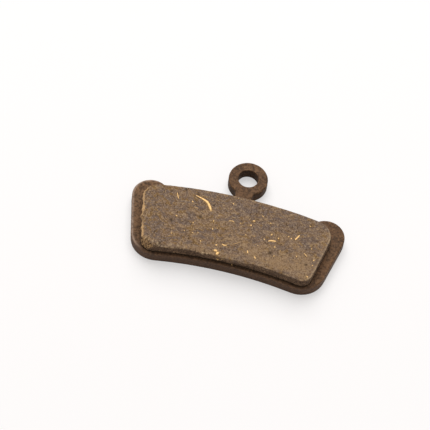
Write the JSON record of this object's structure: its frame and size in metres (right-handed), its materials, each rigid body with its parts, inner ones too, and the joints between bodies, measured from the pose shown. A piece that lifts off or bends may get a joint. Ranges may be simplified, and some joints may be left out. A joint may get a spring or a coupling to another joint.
{
  "type": "disc brake pad",
  "caption": "Flat bicycle disc brake pad: a curved steel backing plate with a pin eye and rounded ears, carrying a bonded block of brass-flecked friction compound.",
  "frame": {"origin": "on the axis of the pin eye, at the plate's back face, on which the pad lies", "axes": "+Z out of the rubbing face and up, +X along the pad, +Y from the pad towards the pin eye"},
  "size_m": [0.0356, 0.022, 0.0038],
  "materials": {
    "coated_steel": "thin dark brown coating, satin, worn at the edges",
    "friction_compound": "rough moulded compound with brass flecks and fibres"
  },
  "bodies": {
    "root": {"backing_plate": "coated_steel", "friction_block": "friction_compound"}
  },
  "joints": []
}
